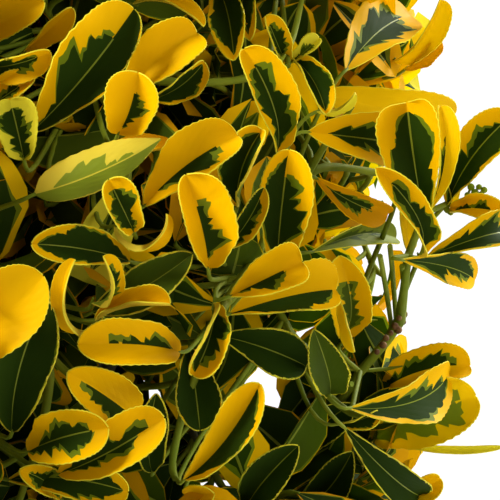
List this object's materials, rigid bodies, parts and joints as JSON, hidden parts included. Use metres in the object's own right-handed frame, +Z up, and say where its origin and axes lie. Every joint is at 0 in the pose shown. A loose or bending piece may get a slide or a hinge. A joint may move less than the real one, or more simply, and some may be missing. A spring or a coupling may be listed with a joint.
{
  "type": "potted standard euonymus",
  "caption": "Standard euonymus: a ball head of gold-edged evergreen leaves on one clear woody stem, growing in compost in a plain tapered clay pot.",
  "frame": {"origin": "middle of the pot's flat underside, at the level that the plant stands on", "axes": "+Z up along the stem; -Y is the side that the picture looks at; +X is right as seen there"},
  "size_m": [0.4716, 0.4892, 1.024],
  "materials": {
    "clay_pot": "unglazed terracotta, matt, with pale bloom and fine turning lines",
    "compost": "dark moist potting compost, crumbly and matt",
    "bark": "grey-brown bark with fine lengthways cracks and corky nodes",
    "leaves": "leathery evergreen leaf, gold with an irregular dark green centre, semi-gloss"
  },
  "bodies": {
    "root": {"pot": "clay_pot", "compost": "compost", "trunk": "bark", "bough_upper_1": "bark", "bough_upper_2": "bark", "bough_upper_3": "bark", "bough_upper_4": "bark", "bough_middle_1": "bark", "bough_middle_2": "bark", "bough_middle_3": "bark", "bough_middle_4": "bark", "bough_middle_5": "bark", "bough_lower_1": "bark", "bough_lower_2": "bark", "bough_lower_3": "bark", "bough_lower_4": "bark", "foliage_top": "leaves", "foliage_upper_1": "leaves", "foliage_upper_2": "leaves", "foliage_upper_3": "leaves", "foliage_upper_4": "leaves", "foliage_middle_1": "leaves", "foliage_middle_2": "leaves", "foliage_middle_3": "leaves", "foliage_middle_4": "leaves", "foliage_middle_5": "leaves", "foliage_lower_1": "leaves", "foliage_lower_2": "leaves", "foliage_lower_3": "leaves", "foliage_lower_4": "leaves"}
  },
  "joints": []
}
